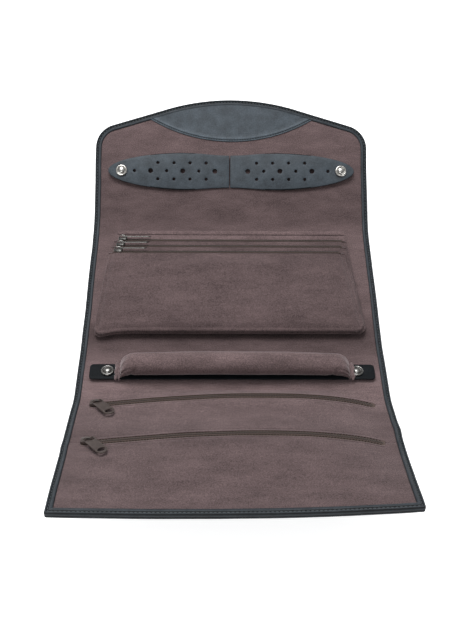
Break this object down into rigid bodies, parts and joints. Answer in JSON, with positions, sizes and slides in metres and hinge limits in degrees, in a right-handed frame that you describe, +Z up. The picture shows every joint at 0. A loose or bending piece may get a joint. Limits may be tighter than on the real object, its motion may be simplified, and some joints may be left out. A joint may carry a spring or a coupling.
{
  "type": "jewelry roll",
  "caption": "Fold-up leather jewelry roll with suede lining, punched earring wings, snap-down padded ring bar, stacked zip bags and zip pockets, shown half open",
  "frame": {"origin": "centre of the middle panel's flat outer face, which the roll rests on", "axes": "X across the roll, +Y towards the flap and -Y towards the pocket panel, +Z up from the resting face"},
  "size_m": [0.25, 0.4151, 0.0737],
  "materials": {
    "leather": "fine-grained slate leather with turned, stitched edges",
    "suede": "taupe suede microfibre with a short nap",
    "board": "grey stiffener board",
    "bar_core": "foam core",
    "nickel": "polished nickel plate",
    "magnet": "plain magnet",
    "zip_tape": "woven brown zip tape",
    "zip_coil": "nylon coil",
    "painted_zip": "brown-grey painted zinc"
  },
  "bodies": {
    "middle_panel": {"middle_panel_leather": "leather", "middle_panel_board": "board", "middle_panel_lining": "suede", "bag_page_seam": "suede"},
    "upper_spine": {"upper_spine_leather": "leather", "upper_spine_lining": "suede"},
    "flap": {"flap_leather": "leather", "flap_board": "board", "flap_lining": "suede", "flap_tip_facing": "leather", "flap_magnet": "magnet", "earring_stud_left": "nickel", "earring_stud_right": "nickel"},
    "earring_wing_left": {"earring_wing_left": "leather", "earring_cap_left": "nickel", "earring_socket_left": "nickel"},
    "earring_wing_right": {"earring_wing_right": "leather", "earring_cap_right": "nickel", "earring_socket_right": "nickel"},
    "lower_spine": {"lower_spine_leather": "leather", "lower_spine_lining": "suede", "ring_bar_tab": "leather", "ring_bar_cap_left": "nickel", "ring_bar_socket_left": "nickel", "ring_bar_stud_left": "nickel", "ring_bar_stud_right": "nickel"},
    "ring_bar": {"ring_bar_strap": "leather", "ring_bar_cover": "suede", "ring_bar_core": "bar_core", "ring_bar_cap_right": "nickel", "ring_bar_socket_right": "nickel"},
    "pocket_panel": {"pocket_panel_leather": "leather", "pocket_panel_board": "board", "pocket_panel_lining": "suede", "pocket_panel_magnet": "magnet", "upper_pocket_cloth": "suede", "lower_pocket_cloth": "suede", "upper_pocket_zip_tape": "zip_tape", "upper_pocket_zip_coil": "zip_coil", "lower_pocket_zip_tape": "zip_tape", "lower_pocket_zip_coil": "zip_coil"},
    "bag_stack": {"zip_bag_back": "suede", "zip_bag_middle": "suede", "zip_bag_front": "suede", "bag_page_strip": "suede", "back_bag_zip": "zip_tape", "middle_bag_zip": "zip_tape", "front_bag_zip": "zip_tape"},
    "upper_pocket_slider": {"upper_pocket_slider": "painted_zip"},
    "upper_pocket_pull": {"upper_pocket_pull": "painted_zip"},
    "lower_pocket_slider": {"lower_pocket_slider": "painted_zip"},
    "lower_pocket_pull": {"lower_pocket_pull": "painted_zip"},
    "back_bag_slider": {"back_bag_slider": "nickel"},
    "back_bag_pull": {"back_bag_pull": "nickel"},
    "middle_bag_slider": {"middle_bag_slider": "nickel"},
    "middle_bag_pull": {"middle_bag_pull": "nickel"},
    "front_bag_slider": {"front_bag_slider": "nickel"},
    "front_bag_pull": {"front_bag_pull": "nickel"}
  },
  "joints": [
    {"name": "upper_fold", "type": "hinge", "parent": "middle_panel", "child": "upper_spine", "pos_m": [0, 0.0665, 0.0056], "axis": [-1, 0, 0], "range_deg": [-74, 26]},
    {"name": "flap_fold", "type": "hinge", "parent": "upper_spine", "child": "flap", "pos_m": [0, 0.09706, 0.0205], "axis": [-1, 0, 0], "range_deg": [-64, 4]},
    {"name": "lower_fold", "type": "hinge", "parent": "middle_panel", "child": "lower_spine", "pos_m": [0, -0.0665, 0.0056], "axis": [1, 0, 0], "range_deg": [-61, 9]},
    {"name": "pocket_fold", "type": "hinge", "parent": "lower_spine", "child": "pocket_panel", "pos_m": [0, -0.11687, 0.01358], "axis": [1, 0, 0], "range_deg": [-104.5, 17.5]},
    {"name": "earring_left_lift", "type": "hinge", "parent": "flap", "child": "earring_wing_left", "pos_m": [-0.0018, 0.11284, 0.03077], "axis": [0, 0.866, 0.5], "range_deg": [0, 85]},
    {"name": "earring_right_lift", "type": "hinge", "parent": "flap", "child": "earring_wing_right", "pos_m": [-0.0012, 0.11284, 0.03077], "axis": [0, -0.866, -0.5], "range_deg": [0, 85]},
    {"name": "ring_bar_lift", "type": "hinge", "parent": "lower_spine", "child": "ring_bar", "pos_m": [-0.094, -0.09122, 0.01255], "axis": [0, -0.9877, 0.1564], "range_deg": [0, 80]},
    {"name": "bag_page_lift", "type": "hinge", "parent": "middle_panel", "child": "bag_stack", "pos_m": [0, 0.058, 0.0056], "axis": [-1, 0, 0], "range_deg": [0, 90]},
    {"name": "upper_pocket_zip_slide", "type": "slide", "parent": "pocket_panel", "child": "upper_pocket_slider", "axis": [1, 0, 0], "range_m": [0, 0.2095]},
    {"name": "upper_pocket_pull_flip", "type": "hinge", "parent": "upper_pocket_slider", "child": "upper_pocket_pull", "pos_m": [-0.10575, -0.12269, 0.01983], "axis": [-0.766, -0.5753, 0.2868], "range_deg": [0, 165]},
    {"name": "lower_pocket_zip_slide", "type": "slide", "parent": "pocket_panel", "child": "lower_pocket_slider", "axis": [1, 0, 0], "range_m": [0, 0.2095]},
    {"name": "lower_pocket_pull_flip", "type": "hinge", "parent": "lower_pocket_slider", "child": "lower_pocket_pull", "pos_m": [-0.10575, -0.16654, 0.0417], "axis": [-0.766, -0.5753, 0.2868], "range_deg": [0, 165]},
    {"name": "back_bag_zip_slide", "type": "slide", "parent": "bag_stack", "child": "back_bag_slider", "axis": [1, 0, 0], "range_m": [0, 0.1923]},
    {"name": "back_bag_pull_flip", "type": "hinge", "parent": "back_bag_slider", "child": "back_bag_pull", "pos_m": [-0.09713, 0.0519, 0.0104], "axis": [0, -0.7071, 0.7071], "range_deg": [0, 165]},
    {"name": "middle_bag_zip_slide", "type": "slide", "parent": "bag_stack", "child": "middle_bag_slider", "axis": [1, 0, 0], "range_m": [0, 0.1941]},
    {"name": "middle_bag_pull_flip", "type": "hinge", "parent": "middle_bag_slider", "child": "middle_bag_pull", "pos_m": [-0.09803, 0.0414, 0.01511], "axis": [0, -0.7071, 0.7071], "range_deg": [0, 165]},
    {"name": "front_bag_zip_slide", "type": "slide", "parent": "bag_stack", "child": "front_bag_slider", "axis": [1, 0, 0], "range_m": [0, 0.1959]},
    {"name": "front_bag_pull_flip", "type": "hinge", "parent": "front_bag_slider", "child": "front_bag_pull", "pos_m": [-0.09894, 0.0309, 0.0198], "axis": [0, -0.7071, 0.7071], "range_deg": [0, 165]}
  ]
}
